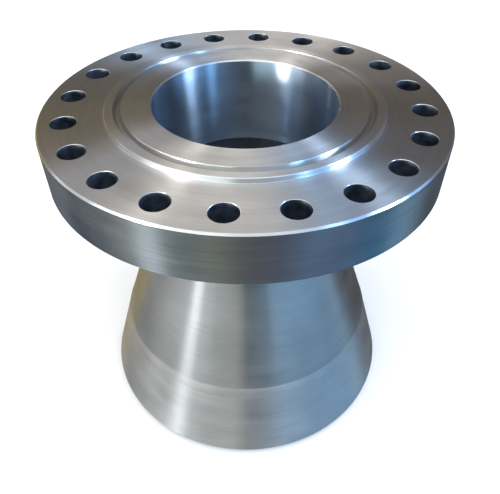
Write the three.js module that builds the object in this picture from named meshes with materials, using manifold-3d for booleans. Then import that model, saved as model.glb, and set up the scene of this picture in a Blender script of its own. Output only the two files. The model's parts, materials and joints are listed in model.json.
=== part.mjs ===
// Weld neck flange with a ring-joint face and a long expanding neck.
//
// Millimetres, +Z up. The origin is the centre of the weld end's lowest plane, and the axis of
// the bore is +Z, towards the gasket face. Heights on the neck are given as depths below the
// bolting face, which is the flat face of the ring that the nuts' studs come out of.
//
// The pieces, from the top: the flange forging (ring, ring-joint face, bolt holes and tapered
// hub), the girth weld under its hub, the expander cone, the second girth weld, and the skirt
// with the bevelled weld end. They are turned solids that share their joint faces.

import * as THREE from "three";
import { mergeVertices } from "three/addons/utils/BufferGeometryUtils.js";
import Module from "manifold-3d";

// Flange ring
const RING_DIAMETER = 610;
const RING_THICKNESS = 79.4;
const RING_CHAMFER = 2.5;

// Bolting: the holes straddle the X and Y axes
const BOLT_CIRCLE_DIAMETER = 533.4;
const BOLT_COUNT = 20;
const BOLT_HOLE_DIAMETER = 38.1;
const BOLT_HOLE_CHAMFER = 1.5;

// Raised face with the groove for an octagonal or oval joint ring
const FACE_DIAMETER = 419;
const FACE_HEIGHT = 7.92;
const FACE_CHAMFER = 1;
const GROOVE_PITCH_DIAMETER = 381;
const GROOVE_WIDTH = 11.91;
const GROOVE_DEPTH = 7.92;
const GROOVE_WALL_ANGLE = THREE.MathUtils.degToRad(23);

// Bore and tapered hub
const BORE_DIAMETER = 281;
const BORE_CHAMFER = 2;
const BORE_STRAIGHT_DEPTH = 141;
const HUB_BASE_DIAMETER = 419;
const HUB_FILLET = 12;
const HUB_FILLET_STEPS = 4;
const HUB_END_DEPTH = 200;
const HUB_END_DIAMETER = 323.9;
const HUB_END_WALL = 14.3;
const HUB_END_STRAIGHT = 14;

// Neck below the hub: the cone, then the skirt with the weld end
const SEAM_DEPTH = 421;
const SEAM_DIAMETER = 470;
const SEAM_WALL = 16.5;
const SKIRT_END_DEPTH = 544;
const SKIRT_END_DIAMETER = 545;
const SKIRT_END_WALL = 19.05;

// Bevelled weld end
const BEVEL_ANGLE = THREE.MathUtils.degToRad(37.5);
const BEVEL_LAND = 1.6;

// Girth welds: V-shaped, narrow at the root, dressed almost flush on the outside
const WELD_ROOT_WIDTH = 3.2;
const WELD_CAP_WIDTH = 20;
const WELD_CROWN = 0.5;

// Facets round the axis and round one bolt hole
const TURN_SEGMENTS = 96;
const HOLE_SEGMENTS = 24;

// Heights that follow from the sizes above
const BEVEL_HEIGHT = (SKIRT_END_WALL - BEVEL_LAND) * Math.tan(BEVEL_ANGLE);
const BOLTING_FACE_Z = SKIRT_END_DEPTH + BEVEL_HEIGHT;
const GASKET_FACE_Z = BOLTING_FACE_Z + FACE_HEIGHT;
const RING_BACK_Z = BOLTING_FACE_Z - RING_THICKNESS;

// The neck's outside and inside, as radius at a depth, with straight walls between stations.
// Each side of the hub's weld is a short straight stretch, so that the two pipe ends match.
const WAIST_TOP_DEPTH = HUB_END_DEPTH - HUB_END_STRAIGHT;
const WAIST_FOOT_DEPTH = HUB_END_DEPTH + HUB_END_STRAIGHT;
const OUTSIDE = [
  { depth: RING_THICKNESS, radius: HUB_BASE_DIAMETER / 2 },
  { depth: WAIST_TOP_DEPTH, radius: HUB_END_DIAMETER / 2 },
  { depth: WAIST_FOOT_DEPTH, radius: HUB_END_DIAMETER / 2 },
  { depth: SEAM_DEPTH, radius: SEAM_DIAMETER / 2 },
  { depth: SKIRT_END_DEPTH, radius: SKIRT_END_DIAMETER / 2 },
];
const INSIDE = [
  { depth: BORE_STRAIGHT_DEPTH, radius: BORE_DIAMETER / 2 },
  { depth: WAIST_TOP_DEPTH, radius: HUB_END_DIAMETER / 2 - HUB_END_WALL },
  { depth: WAIST_FOOT_DEPTH, radius: HUB_END_DIAMETER / 2 - HUB_END_WALL },
  { depth: SEAM_DEPTH, radius: SEAM_DIAMETER / 2 - SEAM_WALL },
  { depth: SKIRT_END_DEPTH, radius: SKIRT_END_DIAMETER / 2 - SKIRT_END_WALL },
];

// The point of a wall at a depth below the bolting face, as (radius, height).
function wallPoint(wall, depth) {
  const below = Math.max(1, wall.findIndex((station) => station.depth >= depth));
  const upper = wall[below - 1];
  const lower = wall[below];
  const share = (depth - upper.depth) / (lower.depth - upper.depth);
  const radius = THREE.MathUtils.lerp(upper.radius, lower.radius, share);
  return new THREE.Vector2(radius, BOLTING_FACE_Z - depth);
}

// A solid turned from an outline whose points run clockwise, with +X outwards and +Y up.
function turned(points) {
  const outline = [...points, points[0]].reverse();
  return new THREE.LatheGeometry(outline, TURN_SEGMENTS).rotateX(Math.PI / 2);
}

// The two faces of a weld groove, each from the outside wall to the root on the inside wall.
function weldGroove(depth) {
  const face = (side) => [
    wallPoint(OUTSIDE, depth + (side * WELD_CAP_WIDTH) / 2),
    wallPoint(INSIDE, depth + (side * WELD_ROOT_WIDTH) / 2),
  ];
  return { upper: face(-1), lower: face(1) };
}

const HUB_GROOVE = weldGroove(HUB_END_DEPTH);
const SEAM_GROOVE = weldGroove(SEAM_DEPTH);

// The fillet between the ring's back and the hub, from the ring inwards.
function hubFillet() {
  const base = wallPoint(OUTSIDE, RING_THICKNESS);
  const end = wallPoint(OUTSIDE, WAIST_TOP_DEPTH);
  const wallAngle = Math.atan2(base.y - end.y, base.x - end.x);
  const reach = HUB_FILLET / Math.tan((Math.PI - wallAngle) / 2);
  const centre = new THREE.Vector2(base.x + reach, base.y - HUB_FILLET);
  const points = [];
  for (let step = 0; step <= HUB_FILLET_STEPS; step += 1) {
    const turn = Math.PI / 2 + (wallAngle * step) / HUB_FILLET_STEPS;
    points.push(new THREE.Vector2(
      centre.x + HUB_FILLET * Math.cos(turn),
      centre.y + HUB_FILLET * Math.sin(turn),
    ));
  }
  return points;
}

// The trapezoidal ring groove in the gasket face, from its inner edge outwards.
function ringGroove() {
  const pitch = GROOVE_PITCH_DIAMETER / 2;
  const mouth = GROOVE_WIDTH / 2;
  const floor = mouth - GROOVE_DEPTH * Math.tan(GROOVE_WALL_ANGLE);
  return [
    new THREE.Vector2(pitch - mouth, GASKET_FACE_Z),
    new THREE.Vector2(pitch - floor, GASKET_FACE_Z - GROOVE_DEPTH),
    new THREE.Vector2(pitch + floor, GASKET_FACE_Z - GROOVE_DEPTH),
    new THREE.Vector2(pitch + mouth, GASKET_FACE_Z),
  ];
}

// The forging before drilling: over the top from the bore's mouth to the rim, then down the
// back of the ring and the hub, and up the bore.
function forgingBlank() {
  const bore = BORE_DIAMETER / 2;
  const face = FACE_DIAMETER / 2;
  const rim = RING_DIAMETER / 2;
  return turned([
    new THREE.Vector2(bore, GASKET_FACE_Z - BORE_CHAMFER),
    new THREE.Vector2(bore + BORE_CHAMFER, GASKET_FACE_Z),
    ...ringGroove(),
    new THREE.Vector2(face - FACE_CHAMFER, GASKET_FACE_Z),
    new THREE.Vector2(face, GASKET_FACE_Z - FACE_CHAMFER),
    new THREE.Vector2(face, BOLTING_FACE_Z),
    new THREE.Vector2(rim - RING_CHAMFER, BOLTING_FACE_Z),
    new THREE.Vector2(rim, BOLTING_FACE_Z - RING_CHAMFER),
    new THREE.Vector2(rim, RING_BACK_Z + RING_CHAMFER),
    new THREE.Vector2(rim - RING_CHAMFER, RING_BACK_Z),
    ...hubFillet(),
    wallPoint(OUTSIDE, WAIST_TOP_DEPTH),
    ...HUB_GROOVE.upper,
    wallPoint(INSIDE, WAIST_TOP_DEPTH),
    wallPoint(INSIDE, BORE_STRAIGHT_DEPTH),
  ]);
}

// The drill for one hole, flared at both ends so that it cuts the chamfers too. It runs past
// the ring by one chamfer at each end.
function boltDrill(index) {
  const radius = BOLT_HOLE_DIAMETER / 2;
  const flared = radius + 2 * BOLT_HOLE_CHAMFER;
  const straight = RING_THICKNESS / 2 - BOLT_HOLE_CHAMFER;
  const end = RING_THICKNESS / 2 + BOLT_HOLE_CHAMFER;
  const outline = [
    new THREE.Vector2(0, -end),
    new THREE.Vector2(flared, -end),
    new THREE.Vector2(radius, -straight),
    new THREE.Vector2(radius, straight),
    new THREE.Vector2(flared, end),
    new THREE.Vector2(0, end),
  ];
  const drill = new THREE.LatheGeometry(outline, HOLE_SEGMENTS).rotateX(Math.PI / 2);
  drill.translate(BOLT_CIRCLE_DIAMETER / 2, 0, BOLTING_FACE_Z - RING_THICKNESS / 2);
  return drill.rotateZ(((index + 0.5) * 2 * Math.PI) / BOLT_COUNT);
}

const wasm = await Module();
wasm.setup();

// A closed geometry as a manifold-3d solid, and back.
function toSolid(geometry) {
  const bare = geometry.clone();
  bare.deleteAttribute("normal");
  bare.deleteAttribute("uv");
  const merged = mergeVertices(bare);
  return new wasm.Manifold(new wasm.Mesh({
    numProp: 3,
    vertProperties: merged.getAttribute("position").array,
    triVerts: new Uint32Array(merged.index.array),
  }));
}

function toGeometry(solid) {
  const mesh = solid.getMesh();
  const geometry = new THREE.BufferGeometry();
  geometry.setAttribute("position", new THREE.BufferAttribute(mesh.vertProperties, 3));
  geometry.setIndex(new THREE.BufferAttribute(mesh.triVerts, 1));
  geometry.computeVertexNormals();
  return geometry;
}

function flangeForging() {
  let solid = toSolid(forgingBlank());
  for (let index = 0; index < BOLT_COUNT; index += 1) {
    solid = solid.subtract(toSolid(boltDrill(index)));
  }
  return toGeometry(solid);
}

// The filler metal that fills one groove, with a low crown on the outside.
function girthWeld(groove, depth) {
  const crown = wallPoint(OUTSIDE, depth);
  crown.x += WELD_CROWN;
  return turned([
    groove.upper[1],
    groove.upper[0],
    crown,
    groove.lower[0],
    groove.lower[1],
  ]);
}

function expanderCone() {
  return turned([
    wallPoint(INSIDE, WAIST_FOOT_DEPTH),
    HUB_GROOVE.lower[1],
    HUB_GROOVE.lower[0],
    wallPoint(OUTSIDE, WAIST_FOOT_DEPTH),
    ...SEAM_GROOVE.upper,
  ]);
}

// The skirt ends in a bevel on the outside and a narrow flat land on the inside, where it is
// turned straight to the pipe's inside diameter.
function weldEndSkirt() {
  const innerEnd = wallPoint(INSIDE, SKIRT_END_DEPTH);
  return turned([
    SEAM_GROOVE.lower[1],
    SEAM_GROOVE.lower[0],
    wallPoint(OUTSIDE, SKIRT_END_DEPTH),
    new THREE.Vector2(innerEnd.x + BEVEL_LAND, 0),
    new THREE.Vector2(innerEnd.x, 0),
    innerEnd,
  ]);
}

const MACHINED_STEEL = { color: 0x9d9fa0, roughness: 0.34, metalness: 1 };
const TURNED_NECK_STEEL = { color: 0x96948e, roughness: 0.3, metalness: 1 };
const DRESSED_WELD_METAL = { color: 0xa3a29d, roughness: 0.42, metalness: 1 };

const group = new THREE.Group();

function addPiece(name, geometry, finish) {
  const mesh = new THREE.Mesh(geometry, new THREE.MeshStandardMaterial(finish));
  mesh.name = name;
  group.add(mesh);
}

addPiece("flange_forging", flangeForging(), MACHINED_STEEL);
addPiece("hub_weld", girthWeld(HUB_GROOVE, HUB_END_DEPTH), DRESSED_WELD_METAL);
addPiece("expander_cone", expanderCone(), TURNED_NECK_STEEL);
addPiece("skirt_weld", girthWeld(SEAM_GROOVE, SEAM_DEPTH), DRESSED_WELD_METAL);
addPiece("weld_end_skirt", weldEndSkirt(), TURNED_NECK_STEEL);

export default group;
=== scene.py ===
"""Looks of the weld neck flange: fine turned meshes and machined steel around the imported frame.

Everything is in metres, in the frame of the CAD part: the origin is the centre of the weld end's
lowest plane and +Z runs along the bore towards the gasket face. Each piece is turned from an
outline of corners (radius from the axis, height), listed clockwise with the outside on the right.
"""

import json
import math

import bmesh
import bpy
from mathutils import Matrix, Vector


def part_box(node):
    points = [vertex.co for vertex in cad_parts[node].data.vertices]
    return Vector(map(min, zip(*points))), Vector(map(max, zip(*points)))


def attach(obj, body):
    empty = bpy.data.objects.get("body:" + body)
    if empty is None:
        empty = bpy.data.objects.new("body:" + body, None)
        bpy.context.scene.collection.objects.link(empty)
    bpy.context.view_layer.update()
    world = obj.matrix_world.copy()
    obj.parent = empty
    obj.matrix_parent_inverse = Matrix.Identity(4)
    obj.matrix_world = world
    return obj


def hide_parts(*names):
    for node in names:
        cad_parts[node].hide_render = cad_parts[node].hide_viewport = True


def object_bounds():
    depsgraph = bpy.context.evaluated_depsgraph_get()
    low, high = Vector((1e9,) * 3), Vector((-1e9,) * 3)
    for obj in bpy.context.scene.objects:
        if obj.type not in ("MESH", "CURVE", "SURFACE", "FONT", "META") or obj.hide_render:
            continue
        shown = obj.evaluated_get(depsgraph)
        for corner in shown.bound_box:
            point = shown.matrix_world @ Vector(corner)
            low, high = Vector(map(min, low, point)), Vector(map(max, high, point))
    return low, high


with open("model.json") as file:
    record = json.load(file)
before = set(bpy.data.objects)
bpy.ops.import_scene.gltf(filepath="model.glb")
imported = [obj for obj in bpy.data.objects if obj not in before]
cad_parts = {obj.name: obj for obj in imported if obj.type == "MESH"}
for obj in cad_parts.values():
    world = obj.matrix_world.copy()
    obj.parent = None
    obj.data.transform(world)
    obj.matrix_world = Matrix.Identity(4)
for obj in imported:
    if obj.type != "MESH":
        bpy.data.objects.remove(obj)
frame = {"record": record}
CAD_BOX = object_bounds()

MM = 0.001
DEG = math.pi / 180

# Places that the frame gives
MOUNTS = {mount["name"]: Vector(mount["pos_m"]) for mount in frame["record"]["mounts"]}
RIM = CAD_BOX[1].x
GASKET_Z = MOUNTS["gasket_face"].z
RING_BACK_Z = MOUNTS["nut_seat"].z
BOLT_CIRCLE = MOUNTS["nut_seat"].x
WAIST_Z = sum(corner.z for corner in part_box("hub_weld")) / 2
SEAM_Z = sum(corner.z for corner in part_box("skirt_weld")) / 2
SKIRT_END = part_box("weld_end_skirt")[1].x

# Flange face and bolting, as radii and heights
FACE = 209.5 * MM
FACE_HEIGHT = 7.92 * MM
FACE_CHAMFER = 1 * MM
FACE_FOOT_FILLET = 1 * MM
BOLTING_Z = GASKET_Z - FACE_HEIGHT
RING_CHAMFER = 2.5 * MM
BOLT_COUNT = 20
BOLT_HOLE = 19.05 * MM
HOLE_CHAMFER = 0.6 * MM

# Ring groove
GROOVE_PITCH = 190.5 * MM
GROOVE_HALF = 5.955 * MM
GROOVE_DEPTH = 7.92 * MM
GROOVE_WALL = 23 * DEG

# Bore, hub and neck, as heights and radii. Over its last stretch the bore narrows a little, as the
# cutter runs out.
BORE = 140.5 * MM
BORE_CHAMFER = 2 * MM
BORE_END_Z = BOLTING_Z - 141 * MM
RUN_OUT = 0.8 * MM
RUN_OUT_HEIGHT = 12 * MM
HUB_BASE = 209.5 * MM
HUB_FILLET = 12 * MM
WAIST = 161.95 * MM
WAIST_WALL = 14.3 * MM
WAIST_STRAIGHT = 14 * MM
WAIST_BLEND = 20 * MM
SEAM = 235 * MM
SEAM_WALL = 16.5 * MM
SKIRT_END_Z = BOLTING_Z - 544 * MM
SKIRT_END_WALL = 19.05 * MM
BEVEL_LAND = 1.6 * MM

# Girth welds
WELD_CAP = 10 * MM
WELD_ROOT = 1.6 * MM
WELD_CROWN = 0.5 * MM

# Fineness of the meshes. EDGE is the radius of the edges broken by hand, and vertices closer than
# TOUCHING are one.
TURN_SEGMENTS = 288
HOLE_SEGMENTS = 64
ROUND_STEPS = 4
CROWN_STEPS = 10
EDGE = 0.4 * MM
SHARP_ANGLE = 32 * DEG
TOUCHING = 0.002 * MM
FLAT_FACE_WEIGHT = 90

# How much a face's normal points up or down: less than the first and the face is upright, more
# than the second and it's level
UPRIGHT = 0.2
LEVEL = 0.95


# ---------------------------------------------------------------- outlines and turned meshes


def rounded(corners):
    """The points of an outline whose corners (radius, height, rounding) are rounded off."""
    points = []
    for index, (x, y, rounding) in enumerate(corners):
        here = Vector((x, y))
        if rounding == 0:
            points.append(here)
            continue
        before = Vector(corners[index - 1][:2]) - here
        after = Vector(corners[(index + 1) % len(corners)][:2]) - here
        half = before.angle(after) / 2
        reach = min(rounding / math.tan(half), before.length / 2, after.length / 2)
        start = here + before.normalized() * reach
        end = here + after.normalized() * reach
        middle = (before.normalized() + after.normalized()).normalized()
        centre = here + middle * (reach / math.cos(half))
        turn = (start - centre).angle_signed(end - centre)
        for step in range(ROUND_STEPS + 1):
            spoke = (start - centre).to_3d()
            spoke.rotate(Matrix.Rotation(-turn * step / ROUND_STEPS, 3, "Z"))
            points.append(centre + spoke.to_2d())
    return points


def finished(name, mesh_source):
    """A new object from a bmesh, smooth except at its sharp edges."""
    bmesh.ops.recalc_face_normals(mesh_source, faces=mesh_source.faces)
    mesh = bpy.data.meshes.new(name)
    mesh_source.to_mesh(mesh)
    mesh_source.free()
    mesh.shade_smooth()
    mesh.set_sharp_from_angle(angle=SHARP_ANGLE)
    piece = bpy.data.objects.new(name, mesh)
    bpy.context.scene.collection.objects.link(piece)
    return piece


def ring_of(mesh, radius, height, segments, place=Matrix.Identity(4)):
    """A ring of vertices round the Z axis, placed by a matrix."""
    ring = []
    for index in range(segments):
        angle = 2 * math.pi * index / segments
        spoke = Vector((radius * math.cos(angle), radius * math.sin(angle), height))
        ring.append(mesh.verts.new(place @ spoke))
    return ring


def join_rings(mesh, first, second):
    """A band of faces from one ring to the next."""
    for index in range(len(first)):
        ahead = (index + 1) % len(first)
        mesh.faces.new((first[index], second[index], second[ahead], first[ahead]))


def turned_piece(name, corners):
    """A tube-like solid, turned from the closed outline of its wall."""
    solid = bmesh.new()
    rings = [ring_of(solid, x, y, TURN_SEGMENTS) for x, y in rounded(corners)]
    for ring, following in zip(rings, rings[1:] + rings[:1]):
        join_rings(solid, ring, following)
    return finished(name, solid)


def add_plug(mesh, outline, segments, place):
    """A solid with no hole in it, turned from an outline and closed by a flat cap at each end."""
    rings = [ring_of(mesh, x, y, segments, place) for x, y in outline]
    for ring, following in zip(rings, rings[1:]):
        join_rings(mesh, ring, following)
    mesh.faces.new(rings[0])
    mesh.faces.new(rings[-1])


def wall_radius(wall, height):
    """The radius of a wall, a list of (radius, height) from the top down, at a height."""
    for (upper_r, upper_z), (lower_r, lower_z) in zip(wall, wall[1:]):
        if height >= lower_z:
            break
    share = (upper_z - height) / (upper_z - lower_z)
    return upper_r + (lower_r - upper_r) * share


OUTSIDE = [
    (HUB_BASE, RING_BACK_Z),
    (WAIST, WAIST_Z + WAIST_STRAIGHT),
    (WAIST, WAIST_Z - WAIST_STRAIGHT),
    (SEAM, SEAM_Z),
    (SKIRT_END, SKIRT_END_Z),
]
INSIDE = [
    (BORE, BORE_END_Z),
    (WAIST - WAIST_WALL, WAIST_Z + WAIST_STRAIGHT),
    (WAIST - WAIST_WALL, WAIST_Z - WAIST_STRAIGHT),
    (SEAM - SEAM_WALL, SEAM_Z),
    (SKIRT_END - SKIRT_END_WALL, SKIRT_END_Z),
]


def on_wall(wall, height, rounding=0):
    return (wall_radius(wall, height), height, rounding)


# ---------------------------------------------------------------- the five pieces


def ring_groove():
    """The corners of the groove for the joint ring, from its inner edge outwards."""
    floor_half = GROOVE_HALF - GROOVE_DEPTH * math.tan(GROOVE_WALL)
    floor_z = GASKET_Z - GROOVE_DEPTH
    return [
        (GROOVE_PITCH - GROOVE_HALF, GASKET_Z, EDGE),
        (GROOVE_PITCH - floor_half, floor_z, 2 * EDGE),
        (GROOVE_PITCH + floor_half, floor_z, 2 * EDGE),
        (GROOVE_PITCH + GROOVE_HALF, GASKET_Z, EDGE),
    ]


def forging_corners():
    return [
        (BORE, GASKET_Z - BORE_CHAMFER, EDGE),
        (BORE + BORE_CHAMFER, GASKET_Z, EDGE),
        *ring_groove(),
        (FACE - FACE_CHAMFER, GASKET_Z, EDGE),
        (FACE, GASKET_Z - FACE_CHAMFER, EDGE),
        (FACE, BOLTING_Z, FACE_FOOT_FILLET),
        (RIM - RING_CHAMFER, BOLTING_Z, EDGE),
        (RIM, BOLTING_Z - RING_CHAMFER, EDGE),
        (RIM, RING_BACK_Z + RING_CHAMFER, EDGE),
        (RIM - RING_CHAMFER, RING_BACK_Z, EDGE),
        (HUB_BASE, RING_BACK_Z, HUB_FILLET),
        on_wall(OUTSIDE, WAIST_Z + WAIST_STRAIGHT, WAIST_BLEND),
        on_wall(OUTSIDE, WAIST_Z + WELD_CAP),
        on_wall(INSIDE, WAIST_Z + WELD_ROOT),
        on_wall(INSIDE, WAIST_Z + WAIST_STRAIGHT, WAIST_BLEND),
        (BORE - RUN_OUT, BORE_END_Z, 5 * EDGE),
        (BORE, BORE_END_Z + RUN_OUT_HEIGHT, EDGE),
    ]


def drill_holes(piece, chamfer_finish, shaded_wall_finish):
    """Cuts the bolt holes, which straddle the X and Y axes, with a chamfer at both ends."""
    flared = BOLT_HOLE + 2 * HOLE_CHAMFER
    outline = [
        (flared, BOLTING_Z + HOLE_CHAMFER),
        (BOLT_HOLE, BOLTING_Z - HOLE_CHAMFER),
        (BOLT_HOLE, RING_BACK_Z + HOLE_CHAMFER),
        (flared, RING_BACK_Z - HOLE_CHAMFER),
    ]
    drills = bmesh.new()
    for index in range(BOLT_COUNT):
        angle = 2 * math.pi * (index + 0.5) / BOLT_COUNT
        spin = Matrix.Rotation(angle, 4, "Z") @ Matrix.Translation((BOLT_CIRCLE, 0, 0))
        add_plug(drills, outline, HOLE_SEGMENTS, spin)
    cutter = finished("drills", drills)
    cutter.data.materials.append(chamfer_finish)
    # The hole walls take the finish that is dark with painted shade.
    cutter.data.materials.append(shaded_wall_finish)
    for face in cutter.data.polygons:
        face.material_index = int(abs(face.normal.z) < UPRIGHT)
    cut = piece.modifiers.new("bolt holes", "BOOLEAN")
    cut.object = cutter
    cut.operation = "DIFFERENCE"
    cut.solver = "EXACT"
    cut.material_mode = "TRANSFER"
    depsgraph = bpy.context.evaluated_depsgraph_get()
    drilled = bpy.data.meshes.new_from_object(piece.evaluated_get(depsgraph))
    piece.modifiers.clear()
    piece.data = drilled
    bpy.data.objects.remove(cutter)
    close_up(drilled)
    drilled.shade_smooth()
    drilled.set_sharp_from_angle(angle=SHARP_ANGLE)


def close_up(mesh):
    """Joins the vertices that cutting leaves almost on top of each other."""
    joined = bmesh.new()
    joined.from_mesh(mesh)
    bmesh.ops.remove_doubles(joined, verts=joined.verts, dist=TOUCHING)
    joined.to_mesh(mesh)
    joined.free()


def even_normals(piece):
    """Keeps wide flat faces flat beside their narrow rounded edges."""
    weighted = piece.modifiers.new("even normals", "WEIGHTED_NORMAL")
    weighted.keep_sharp = True
    weighted.weight = FLAT_FACE_WEIGHT


def weld_corners(middle):
    """A weld's corners: up the root, then over the crown on the outside, from the top down."""
    crown = []
    for step in range(CROWN_STEPS + 1):
        along = 1 - 2 * step / CROWN_STEPS
        radius, height, _ = on_wall(OUTSIDE, middle + WELD_CAP * along)
        crown.append((radius + WELD_CROWN * (1 - along * along), height, 0))
    return [
        on_wall(INSIDE, middle - WELD_ROOT),
        on_wall(INSIDE, middle + WELD_ROOT),
        *crown,
    ]


def cone_corners():
    return [
        on_wall(INSIDE, WAIST_Z - WAIST_STRAIGHT, WAIST_BLEND),
        on_wall(INSIDE, WAIST_Z - WELD_ROOT),
        on_wall(OUTSIDE, WAIST_Z - WELD_CAP),
        on_wall(OUTSIDE, WAIST_Z - WAIST_STRAIGHT, WAIST_BLEND),
        on_wall(OUTSIDE, SEAM_Z + WELD_CAP),
        on_wall(INSIDE, SEAM_Z + WELD_ROOT),
    ]


def skirt_corners():
    inner_end = SKIRT_END - SKIRT_END_WALL
    return [
        on_wall(INSIDE, SEAM_Z - WELD_ROOT),
        on_wall(OUTSIDE, SEAM_Z - WELD_CAP),
        (SKIRT_END, SKIRT_END_Z, EDGE),
        (inner_end + BEVEL_LAND, 0, EDGE / 2),
        (inner_end, 0, EDGE / 2),
        (inner_end, SKIRT_END_Z, EDGE),
    ]


# ---------------------------------------------------------------- materials

# The limits that nearly all of a noise's values lie between
NOISE_SPAN = (0.3, 0.7)
HANDLED_SPAN = (0.35, 0.65)

# Turned finishes: colour, roughness, unevenness of tone, pitch and depth of the grooves, and how
# far the grooves stretch a reflection. The roughness varies over a finish, and must stay to one
# side of 0.274 all over it: Cycles' denoiser takes smoother metal for a mirror, and a finish that
# crosses that value comes out in ragged patches.
TURNED_FINISHES = {
    "faced steel": ((0.56, 0.55, 0.545), 0.37, 0.05, 1.6 * MM, 0.003 * MM, 1.0),
    "raised face steel": ((0.65, 0.64, 0.64), 0.36, 0.05, 1.6 * MM, 0.002 * MM, 1.0),
    "broken edge steel": ((0.64, 0.64, 0.65), 0.305, 0.03, 1.6 * MM, 0.0004 * MM, 1.0),
    "rim steel": ((0.62, 0.63, 0.64), 0.215, 0.03, 2.2 * MM, 0.0004 * MM, 0.5),
    # The groove's colour is painted shade: darker than the raised face round it, for the dark room
    # its walls mirror.
    "groove steel with painted shade": ((0.60, 0.59, 0.58), 0.33, 0.03, 1.6 * MM, 0.0004 * MM, 1.0),
    # The bore's colour is painted shade and painted reflection: darker than the other steel for
    # the shade down the bore, and blue for the blue light it mirrors.
    "bored steel with painted shade and blue": ((0.41, 0.48, 0.56), 0.305, 0.04, 2.2 * MM, 0.0008 * MM, 1.0),
    "cone steel": ((0.65, 0.65, 0.64), 0.31, 0.05, 2.2 * MM, 0.0012 * MM, 1.0),
    # The skirt's colour is painted light: lighter than the cone's, for the bright floor that the
    # skirt mirrors.
    "skirt steel with painted light": ((0.78, 0.775, 0.76), 0.35, 0.045, 2.2 * MM, 0.0012 * MM, 1.0),
    "dressed weld": ((0.72, 0.71, 0.69), 0.42, 0.08, 1.8 * MM, 0.004 * MM, 1.0),
}
QUARTER_TURN = 0.25

# The other finishes. A drill's scores are coarse across the hole and fine along it.
# The drilled colour is painted shade: dark for the shade in the holes, and tinted blue as painted
# reflection.
DRILLED_PAINTED_SHADE_COLOUR = (0.28, 0.31, 0.36)
DRILLED_ROUGHNESS = 0.38
DRILL_SCORES = (60, 60, 900)
DRILL_SCORE_DEPTH = 0.03 * MM
# The forged colour is the dark grey of forging scale, tinted blue as painted reflection of the
# light seen down the bore.
FORGED_COLOUR_WITH_PAINTED_BLUE = (0.20, 0.205, 0.24)
FORGED_ROUGHNESS = 0.5
FORGED_SCALE_DEPTH = 0.15 * MM


class Graph:
    """Adds nodes to a node tree, with each input a plain value or another node's output."""

    def __init__(self, tree):
        self.tree = tree
        tree.nodes.clear()

    def add(self, kind, inputs=None, **settings):
        node = self.tree.nodes.new(kind)
        for key, value in settings.items():
            setattr(node, key, value)
        for key, value in (inputs or {}).items():
            if isinstance(value, bpy.types.NodeSocket):
                self.tree.links.new(value, node.inputs[key])
            else:
                node.inputs[key].default_value = value
        return node

    def math(self, operation, *values):
        inputs = dict(enumerate(values))
        return self.add("ShaderNodeMath", inputs, operation=operation).outputs[0]

    def spread(self, value, low, high, to_low=0.0, to_high=1.0, smooth=False):
        """value taken from the range low to high into the range to_low to to_high."""
        kind = "SMOOTHSTEP" if smooth else "LINEAR"
        inputs = {0: value, 1: low, 2: high, 3: to_low, 4: to_high}
        return self.add("ShaderNodeMapRange", inputs, interpolation_type=kind).outputs[0]

    def vary(self, noise, middle, swing, span=NOISE_SPAN):
        """A noise turned into a value that keeps within swing of the middle."""
        return self.spread(noise, *span, middle - swing, middle + swing)

    def mix(self, share, first, second, blend="MIX"):
        # Inputs 6 and 7 and output 2 are the node's colours
        inputs = {"Factor": share, 6: first, 7: second}
        node = self.add("ShaderNodeMix", inputs, data_type="RGBA", blend_type=blend)
        return node.outputs[2]

    def grey(self, value):
        return self.add("ShaderNodeCombineColor", {0: value, 1: value, 2: value}).outputs[0]

    def toned(self, colour, first, *others):
        """A colour made uneven by the product of some tones."""
        tone = first
        for other in others:
            tone = self.math("MULTIPLY", tone, other)
        return self.mix(1.0, (*colour, 1), self.grey(tone), "MULTIPLY")

    def ramp(self, value, stops):
        node = self.add("ShaderNodeValToRGB", {0: value})
        elements = node.color_ramp.elements
        while len(elements) < len(stops):
            elements.new(0.5)
        for element, (position, colour) in zip(elements, stops):
            element.position = position
            element.color = (*colour, 1)
        return node.outputs[0]


def new_material(name):
    material = bpy.data.materials.new(name)
    material.use_nodes = True
    return material, Graph(material.node_tree)


def axis_distance(graph):
    """The distance of the shaded point from the axis."""
    place = graph.add("ShaderNodeTexCoord").outputs["Object"]
    flat = graph.add("ShaderNodeMapping", {"Vector": place, "Scale": (1, 1, 0)}).outputs[0]
    return graph.add("ShaderNodeVectorMath", {0: flat}, operation="LENGTH").outputs["Value"]


def lathe_noise(graph, across, along, detail, roughness=0.6):
    """Noise drawn out round the axis: across per metre over the grooves, along round the turn."""
    place = graph.add("ShaderNodeTexCoord").outputs["Object"]
    split = graph.add("ShaderNodeSeparateXYZ", {0: place}).outputs
    radius = axis_distance(graph)
    cosine = graph.math("MULTIPLY", graph.math("DIVIDE", split[0], radius), along)
    sine = graph.math("MULTIPLY", graph.math("DIVIDE", split[1], radius), along)
    grooves = {
        0: graph.math("MULTIPLY", radius, across),
        1: graph.math("MULTIPLY", split[2], across),
        2: cosine,
    }
    vector = graph.add("ShaderNodeCombineXYZ", grooves).outputs[0]
    inputs = {"Vector": vector, "W": sine, "Scale": 1, "Detail": detail, "Roughness": roughness}
    return graph.add("ShaderNodeTexNoise", inputs, noise_dimensions="4D").outputs[0]


def spot_noise(graph, scale, detail):
    place = graph.add("ShaderNodeTexCoord").outputs["Object"]
    inputs = {"Vector": place, "Scale": scale, "Detail": detail}
    return graph.add("ShaderNodeTexNoise", inputs).outputs[0]


def steel_surface(graph, colour, rough, height, depth, **shine):
    bump = graph.add("ShaderNodeBump", {"Strength": 1.0, "Distance": depth, "Height": height})
    surface = graph.add("ShaderNodeBsdfPrincipled", {
        "Base Color": colour,
        "Metallic": 1.0,
        "Roughness": rough,
        "Normal": bump.outputs[0],
        **shine,
    })
    graph.add("ShaderNodeOutputMaterial", {0: surface.outputs[0]})


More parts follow.
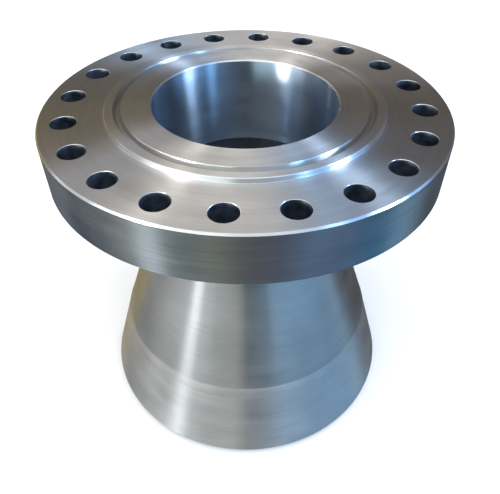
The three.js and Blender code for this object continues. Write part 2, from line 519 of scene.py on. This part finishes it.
def turned_steel(name):
    """Steel cut on a lathe: its grooves stretch the reflections across the tool's path."""
    colour, roughness, unevenness, groove_pitch, groove_depth, stretch = TURNED_FINISHES[name]
    material, graph = new_material(name)
    grooves = lathe_noise(graph, across=1 / groove_pitch, along=3, detail=1.5, roughness=0.5)
    bands = lathe_noise(graph, across=0.1 / groove_pitch, along=2, detail=4)
    handled = spot_noise(graph, scale=14, detail=5)
    toned = graph.toned(
        colour,
        graph.vary(grooves, 1, 0.05),
        graph.vary(bands, 1, unevenness),
        graph.vary(handled, 1, unevenness, HANDLED_SPAN),
    )
    smears = graph.spread(handled, 0.4, 0.75, to_low=-0.01, to_high=0.03)
    rough = graph.math("ADD", graph.vary(bands, roughness, 0.02), smears)
    tangent = graph.add("ShaderNodeTangent", direction_type="RADIAL", axis="Z").outputs[0]
    shine = {"Anisotropic": stretch, "Anisotropic Rotation": QUARTER_TURN, "Tangent": tangent}
    steel_surface(graph, toned, rough, grooves, groove_depth, **shine)
    return material


def drilled_steel_painted_shade():
    """The dull wall of a drilled hole, scored round by the drill, and dark with painted shade."""
    material, graph = new_material("drilled steel with painted shade")
    place = graph.add("ShaderNodeTexCoord").outputs["Object"]
    drawn = graph.add("ShaderNodeMapping", {"Vector": place, "Scale": DRILL_SCORES}).outputs[0]
    scores = graph.add("ShaderNodeTexNoise", {"Vector": drawn, "Scale": 1, "Detail": 3}).outputs[0]
    stains = spot_noise(graph, scale=60, detail=4)
    toned = graph.toned(DRILLED_PAINTED_SHADE_COLOUR, graph.vary(scores, 1, 0.2), graph.vary(stains, 1, 0.4))
    rough = graph.vary(stains, DRILLED_ROUGHNESS, 0.06)
    steel_surface(graph, toned, rough, scores, DRILL_SCORE_DEPTH)
    return material


def forged_steel_with_painted_blue():
    """Dark steel with its forging scale left on, as inside the neck, tinted blue as painted
    reflection.
    """
    material, graph = new_material("forged steel with painted blue")
    flakes = spot_noise(graph, scale=220, detail=5)
    patches = spot_noise(graph, scale=18, detail=4)
    toned = graph.toned(FORGED_COLOUR_WITH_PAINTED_BLUE, graph.vary(flakes, 1, 0.2), graph.vary(patches, 1, 0.3))
    rough = graph.vary(patches, FORGED_ROUGHNESS, 0.08)
    steel_surface(graph, toned, rough, flakes, FORGED_SCALE_DEPTH)
    return material


# ---------------------------------------------------------------- build


def settle(piece, node):
    """Evens a piece's normals, gives it its body and hides the CAD node that it stands for."""
    even_normals(piece)
    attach(piece, "root")
    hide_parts(node)


def build_forging():
    """The flange: faced on top, with its rim, groove, bore and bolt holes each finished apart."""
    finishes = {
        "faced": turned_steel("faced steel"),
        "raised": turned_steel("raised face steel"),
        "edge": turned_steel("broken edge steel"),
        "rim": turned_steel("rim steel"),
        # The groove's finish is darkened as painted shade.
        "groove": turned_steel("groove steel with painted shade"),
        # The bore's finish is darkened and tinted blue as painted shade and painted reflection.
        "bored": turned_steel("bored steel with painted shade and blue"),
        # The forged finish is tinted blue as painted reflection.
        "forged": forged_steel_with_painted_blue(),
    }
    flange = turned_piece("flange_body", forging_corners())
    for finish in finishes.values():
        flange.data.materials.append(finish)
    order = list(finishes)
    for face in flange.data.polygons:
        face.material_index = order.index(forging_finish(face))
    drill_holes(flange, finishes["edge"], drilled_steel_painted_shade())
    settle(flange, "flange_forging")


def forging_finish(face):
    """The finish of one face of the flange, by where it lies."""
    radius = face.center.xy.length
    upright = abs(face.normal.z) < UPRIGHT
    if upright and radius > RIM - RING_CHAMFER / 2:
        return "rim"
    level = abs(face.normal.z) > LEVEL
    if abs(radius - GROOVE_PITCH) < GROOVE_HALF and face.center.z > GASKET_Z - 2 * GROOVE_DEPTH:
        return "groove"
    if face.center.z < BORE_END_Z and face.normal.xy.dot(face.center.xy) < 0:
        return "forged"
    if upright and radius < BORE + BORE_CHAMFER / 2:
        return "bored"
    if not upright and not level and face.center.z > RING_BACK_Z:
        return "edge"
    return "raised" if radius < FACE else "faced"


def build_neck():
    """The welds, cone and skirt: turned outside, and left as forged inside."""
    cone_finish = turned_steel("cone steel")
    # The skirt's finish is lightened as painted light.
    skirt_finish_with_painted_light = turned_steel("skirt steel with painted light")
    weld_finish = turned_steel("dressed weld")
    # The forged finish is tinted blue as painted reflection.
    forged = bpy.data.materials["forged steel with painted blue"]
    parts = [
        ("hub_weld_bead", weld_corners(WAIST_Z), weld_finish, "hub_weld", "weld_metal"),
        ("cone_shell", cone_corners(), cone_finish, "expander_cone", "neck_steel"),
        ("seam_weld_bead", weld_corners(SEAM_Z), weld_finish, "skirt_weld", "weld_metal"),
        ("skirt_shell", skirt_corners(), skirt_finish_with_painted_light, "weld_end_skirt", "neck_steel"),
    ]
    for name, corners, finish, node, slot in parts:
        piece = turned_piece(name, corners)
        piece.data.materials.append(finish)
        piece.data.materials.append(forged)
        for face in piece.data.polygons:
            inward = face.normal.xy.dot(face.center.xy) < 0
            face.material_index = int(inward and face.center.z > SKIRT_END_Z)
        settle(piece, node)


# ---------------------------------------------------------------- studio and camera

CAMERA_TURN = -4.08 * DEG
CAMERA_ASIDE = 6.9 * MM
CAMERA_BACK = 736.8 * MM
CAMERA_ABOVE_FACE = 373 * MM
CAMERA_PITCH = 42.12 * DEG
LENS_MM = 37.96
SENSOR_MM = 36

# The room that the steel mirrors. All its angles are in degrees. A bearing of 0 is behind the
# camera, 90 is to its right, and 180 is behind the flange. Three bands of colour run round it, one
# above the other, given as (bearing, colour), and the ceiling lies over them.
FLOOR_BAND = [
    (-180, (0.08, 0.08, 0.08)),
    (-150, (0.07, 0.08, 0.12)),
    (-128, (0.15, 0.18, 0.23)),
    (-112, (0.03, 0.05, 0.07)),
    (-97, (0.06, 0.08, 0.11)),
    (-78, (0.11, 0.13, 0.13)),
    (-68, (0.15, 0.17, 0.18)),
    (-61, (0.60, 0.70, 0.76)),
    (-54, (0.60, 0.70, 0.76)),
    (-47, (0.18, 0.20, 0.21)),
    (-38, (0.11, 0.15, 0.16)),
    (-21, (0.18, 0.20, 0.17)),
    (-4, (0.12, 0.12, 0.12)),
    (21, (0.10, 0.12, 0.16)),
    (40, (0.11, 0.18, 0.29)),
    (58, (0.09, 0.14, 0.25)),
    (76, (0.01, 0.10, 0.21)),
    (88, (0.05, 0.16, 0.28)),
    (97, (0.14, 0.30, 0.48)),
    (110, (0.15, 0.26, 0.34)),
    (120, (0.09, 0.12, 0.15)),
    (128, (0.07, 0.085, 0.11)),
    (180, (0.08, 0.08, 0.08)),
]
LOW_BAND = [
    (-180, (0.09, 0.08, 0.07)),
    (-140, (0.11, 0.11, 0.11)),
    (-115, (0.21, 0.20, 0.18)),
    (-90, (0.25, 0.26, 0.26)),
    (-62, (0.23, 0.26, 0.26)),
    (-50, (0.22, 0.25, 0.28)),
    (-34, (0.27, 0.29, 0.29)),
    (-8, (0.46, 0.47, 0.43)),
    (1, (0.08, 0.11, 0.12)),
    (18, (0.05, 0.09, 0.11)),
    (60, (0.21, 0.26, 0.32)),
    (84, (0.17, 0.21, 0.26)),
    (91, (0.26, 0.31, 0.35)),
    (98, (0.11, 0.13, 0.14)),
    (115, (0.06, 0.055, 0.05)),
    (180, (0.09, 0.08, 0.07)),
]
HIGH_BAND = [
    (-180, (0.14, 0.12, 0.09)),
    (-150, (0.30, 0.27, 0.21)),
    (-131, (0.27, 0.23, 0.17)),
    (-112, (0.29, 0.26, 0.21)),
    (-93, (0.44, 0.44, 0.42)),
    (-74, (0.90, 0.98, 1.00)),
    (-37, (1.00, 1.08, 1.12)),
    (-18, (0.50, 0.58, 0.60)),
    (0, (0.08, 0.13, 0.14)),
    (18, (0.18, 0.32, 0.52)),
    (37, (0.22, 0.56, 1.00)),
    (60, (0.10, 0.46, 1.00)),
    (91, (0.20, 0.48, 0.88)),
    (108, (0.30, 0.34, 0.42)),
    (130, (0.26, 0.28, 0.33)),
    (155, (0.16, 0.15, 0.15)),
    (180, (0.14, 0.12, 0.09)),
]
CEILING = [
    (-180, (1.8, 1.65, 1.5)),
    (-118, (1.7, 1.6, 1.5)),
    (-80, (1.3, 1.28, 1.25)),
    (-10, (1.9, 1.95, 2.0)),
    (30, (1.6, 1.75, 1.95)),
    (60, (0.78, 1.02, 1.40)),
    (85, (0.58, 0.75, 1.05)),
    (115, (0.60, 0.70, 0.88)),
    (150, (0.8, 0.95, 1.15)),
    (180, (1.8, 1.65, 1.5)),
]
# Straight up, the ceiling fades to one colour between these elevations
OVERHEAD = (2.0, 2.0, 2.0)
OVERHEAD_START = (66, 86)
# The elevation of the ceiling's lower edge, as (bearing, elevation)
CEILING_START = [
    (-180, 60),
    (-140, 58),
    (-118, 50),
    (-92, 38),
    (-50, 38),
    (0, 42),
    (40, 36),
    (70, 36),
    (100, 42),
    (130, 44),
    (180, 60),
]
# The elevations where one band gives way to the next, and how far each spreads into the other
FLOOR_END = -32
HORIZON = 0
BAND_BLEND = 8
ZENITH = 90
# Bright or coloured things against the walls: bearing, half width, lower and upper edge, blur,
# colour
THINGS = [
    (-72, 40, 1, 10, 5, (1.7, 1.75, 1.8)),
    (60, 38, 1, 10, 5, (0.7, 1.25, 1.8)),
    (-49, 4, 3, 14, 8, (9.5, 9.8, 10.2)),
    (-130, 20, -24, 9, 8, (0.60, 0.47, 0.17)),
    (-138, 14, 32, 48, 8, (1.10, 1.15, 1.30)),
]
# Lamps that only the flange mirrors: bearing, width, lower and upper edge, colour. They stand
# PANE_REACH metres from the axis, with their edges at those elevations over the bolting face.
PANES = [
    (-88, 34, 1, 10, (2.0, 2.3, 2.5)),
    (-67, 18, 1, 8, (13, 14, 15)),
    (-54, 20, 8, 17, (4.0, 4.3, 4.6)),
    (-48, 15, 1, 8, (105, 105, 102)),
    (-24, 30, 1, 9, (8, 10.5, 11)),
    (44, 9, 2, 30, (2.6, 5.2, 8.5)),
    (70, 60, 2, 14, (0.8, 2.1, 4.6)),
    (76, 12, 2, 36, (11, 15, 20)),
]
PANE_REACH = 6

# The floor under it, and the lamp over the floor
FLOOR_RADIUS = 30
FLOOR_SEGMENTS = 96
FLOOR_TONE = (0.86, 0.88)
LAMP_STRENGTH = 2.0
LAMP_SPREAD = 80 * DEG
LAMP_TILT = (25 * DEG, 10 * DEG, 0)


def light_room():
    """The world: plain white to the camera, and the soft room of bands to everything else."""
    world = bpy.data.worlds.new("studio")
    bpy.context.scene.world = world
    world.use_nodes = True
    graph = Graph(world.node_tree)
    direction = graph.add("ShaderNodeTexCoord").outputs["Generated"]
    split = graph.add("ShaderNodeSeparateXYZ", {0: direction}).outputs
    azimuth = graph.math("ARCTAN2", split[0], graph.math("MULTIPLY", split[1], -1.0))
    turned = graph.math("WRAP", graph.math("SUBTRACT", azimuth, CAMERA_TURN), math.pi, -math.pi)
    bearing = graph.math("DEGREES", turned)
    elevation = graph.math("DEGREES", graph.math("ARCSINE", split[2]))
    share = graph.spread(bearing, -180, 180)

    def band(stops):
        return graph.ramp(share, [((angle + 180) / 360, colour) for angle, colour in stops])

    def above(edge):
        over = graph.math("SUBTRACT", elevation, edge)
        return graph.spread(over, -BAND_BLEND, BAND_BLEND, smooth=True)

    room = graph.mix(above(FLOOR_END), band(FLOOR_BAND), band(LOW_BAND))
    room = graph.mix(above(HORIZON), room, band(HIGH_BAND))
    for centre, half, lower, upper, blur, colour in THINGS:
        aside = graph.math("ABSOLUTE", graph.math("SUBTRACT", bearing, centre))
        across = graph.spread(aside, half + blur / 2, half - blur / 2, smooth=True)
        middle = (lower + upper) / 2
        reach = (upper - lower) / 2
        off = graph.math("ABSOLUTE", graph.math("SUBTRACT", elevation, middle))
        up = graph.spread(off, reach + blur / 2, reach - blur / 2, smooth=True)
        room = graph.mix(graph.math("MULTIPLY", across, up), room, (*colour, 1))
    # A ramp holds colours up to 1, so the edge goes through it as a share of the way up
    edges = [(angle, (edge / ZENITH,) * 3) for angle, edge in CEILING_START]
    start = graph.math("MULTIPLY", band(edges), ZENITH)
    overhead = graph.spread(elevation, *OVERHEAD_START, smooth=True)
    ceiling = graph.mix(overhead, band(CEILING), (*OVERHEAD, 1))
    room = graph.mix(above(start), room, ceiling)
    seen = graph.add("ShaderNodeLightPath").outputs["Is Camera Ray"]
    colour = graph.mix(seen, room, (1.0, 1.0, 1.0, 1))
    background = graph.add("ShaderNodeBackground", {"Color": colour, "Strength": 1.0})
    graph.add("ShaderNodeOutputWorld", {0: background.outputs[0]})


def hang_panes(mirror):
    """Upright lamps, well away from the part, that only the given piece mirrors."""
    mirrors = bpy.data.collections.new("mirrors of the panes")
    mirrors.objects.link(mirror)
    for bearing, width, lower, upper, colour in PANES:
        strongest = max(colour)
        lamp = bpy.data.lights.new("pane", "AREA")
        lamp.shape = "RECTANGLE"
        lamp.size = 2 * PANE_REACH * math.tan(width * DEG / 2)
        lamp.size_y = PANE_REACH * (math.tan(upper * DEG) - math.tan(lower * DEG))
        lamp.color = [value / strongest for value in colour]
        lamp.energy = math.pi * lamp.size * lamp.size_y * strongest
        hung = bpy.data.objects.new("pane", lamp)
        bpy.context.scene.collection.objects.link(hung)
        height = BOLTING_Z + PANE_REACH * (math.tan(upper * DEG) + math.tan(lower * DEG)) / 2
        turned = bearing * DEG + CAMERA_TURN
        hung.location = Vector((math.sin(turned), -math.cos(turned), 0)) * PANE_REACH
        hung.location.z = height
        hung.rotation_euler = (90 * DEG, 0, turned)
        hung.visible_camera = False
        hung.light_linking.receiver_collection = mirrors


def lay_floor():
    """A wide pale floor that the steel doesn't mirror."""
    ground = bmesh.new()
    bmesh.ops.create_circle(ground, cap_ends=True, segments=FLOOR_SEGMENTS, radius=FLOOR_RADIUS)
    mesh = bpy.data.meshes.new("floor")
    ground.to_mesh(mesh)
    ground.free()
    floor = bpy.data.objects.new("floor", mesh)
    bpy.context.scene.collection.objects.link(floor)
    material, graph = new_material("floor paint")
    tone = graph.spread(spot_noise(graph, scale=3, detail=3), *NOISE_SPAN, *FLOOR_TONE)
    paint = graph.add("ShaderNodeBsdfDiffuse", {"Color": graph.grey(tone)})
    graph.add("ShaderNodeOutputMaterial", {0: paint.outputs[0]})
    mesh.materials.append(material)
    floor.visible_glossy = False
    floor.visible_shadow = False


def hang_lamp():
    """A broad soft lamp overhead for the floor. The steel doesn't mirror it."""
    lamp = bpy.data.lights.new("soft lamp", "SUN")
    lamp.energy = LAMP_STRENGTH
    lamp.angle = LAMP_SPREAD
    hung = bpy.data.objects.new("soft lamp", lamp)
    bpy.context.scene.collection.objects.link(hung)
    hung.rotation_euler = LAMP_TILT
    hung.visible_glossy = False


def place_camera():
    lens = bpy.data.cameras.new("camera")
    lens.lens = LENS_MM
    lens.sensor_width = SENSOR_MM
    camera = bpy.data.objects.new("camera", lens)
    bpy.context.scene.collection.objects.link(camera)
    stand = Matrix.Rotation(CAMERA_TURN, 4, "Z")
    camera.location = stand @ Vector((CAMERA_ASIDE, -CAMERA_BACK, BOLTING_Z + CAMERA_ABOVE_FACE))
    camera.rotation_euler = (90 * DEG - CAMERA_PITCH, 0, CAMERA_TURN)
    bpy.context.scene.camera = camera


build_forging()
build_neck()
light_room()
hang_panes(bpy.data.objects["flange_body"])
lay_floor()
hang_lamp()
place_camera()
bpy.context.scene.view_settings.view_transform = "Standard"
